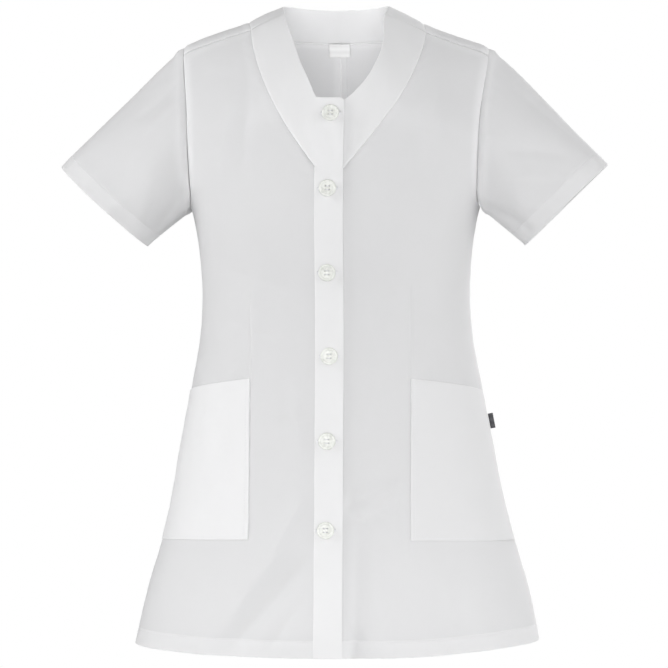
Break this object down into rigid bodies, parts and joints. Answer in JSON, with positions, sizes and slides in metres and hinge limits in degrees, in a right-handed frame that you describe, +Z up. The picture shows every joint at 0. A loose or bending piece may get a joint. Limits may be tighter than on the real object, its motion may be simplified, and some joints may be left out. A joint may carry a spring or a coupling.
{
  "type": "work tunic",
  "caption": "Short-sleeved white work tunic, open and hollow as worn, with V neck band, buttoned placket and two hip pockets.",
  "frame": {"origin": "midway between the two points where the neck edge crosses the shoulders, where the wearer's shoulders hold it up", "axes": "+Z up, the front faces -Y, +X towards the wearer's left"},
  "size_m": [0.6571, 0.2734, 0.7692],
  "materials": {
    "cloth": "plain white polyester-cotton, matt",
    "button": "off-white moulded plastic, soft gloss",
    "label": "smooth white woven tape, blank",
    "tab": "dark grey woven tape, blank"
  },
  "bodies": {
    "root": {"front_right": "cloth", "front_left": "cloth", "back_right": "cloth", "back_left": "cloth", "sleeve_right": "cloth", "sleeve_left": "cloth", "neck_band_right": "cloth", "neck_band_left": "cloth", "neck_band_back": "cloth", "placket": "cloth", "pocket_right": "cloth", "pocket_left": "cloth", "back_seam_turning": "cloth", "size_label": "label", "side_tab": "tab", "button_1": "button", "button_2": "button", "button_3": "button", "button_4": "button", "button_5": "button", "button_6": "button"}
  },
  "joints": []
}
